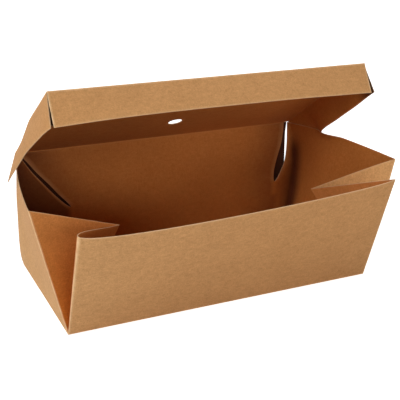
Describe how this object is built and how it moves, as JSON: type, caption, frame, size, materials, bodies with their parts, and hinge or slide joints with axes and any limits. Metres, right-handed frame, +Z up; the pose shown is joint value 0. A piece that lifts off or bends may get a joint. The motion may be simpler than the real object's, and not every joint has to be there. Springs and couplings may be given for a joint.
{
  "type": "hinged lid card food box",
  "caption": "Long take-away box folded from kraft card, with inward front gussets and a hinged lid with a rim and a vent hole.",
  "frame": {"origin": "middle of the base panel's underside", "axes": "+X along the hinge to the right end, +Y to the back wall with the hinge, +Z up"},
  "size_m": [0.248, 0.1465, 0.1438],
  "materials": {
    "kraft_card": "matt uncoated brown kraft board with fine fibres"
  },
  "bodies": {
    "tray": {"tray": "kraft_card"},
    "lid": {"lid": "kraft_card"}
  },
  "joints": [
    {"name": "lid_hinge", "type": "hinge", "parent": "tray", "child": "lid", "pos_m": [0, 0.055, 0.082], "axis": [-1, 0, 0], "range_deg": [0, 146]}
  ]
}
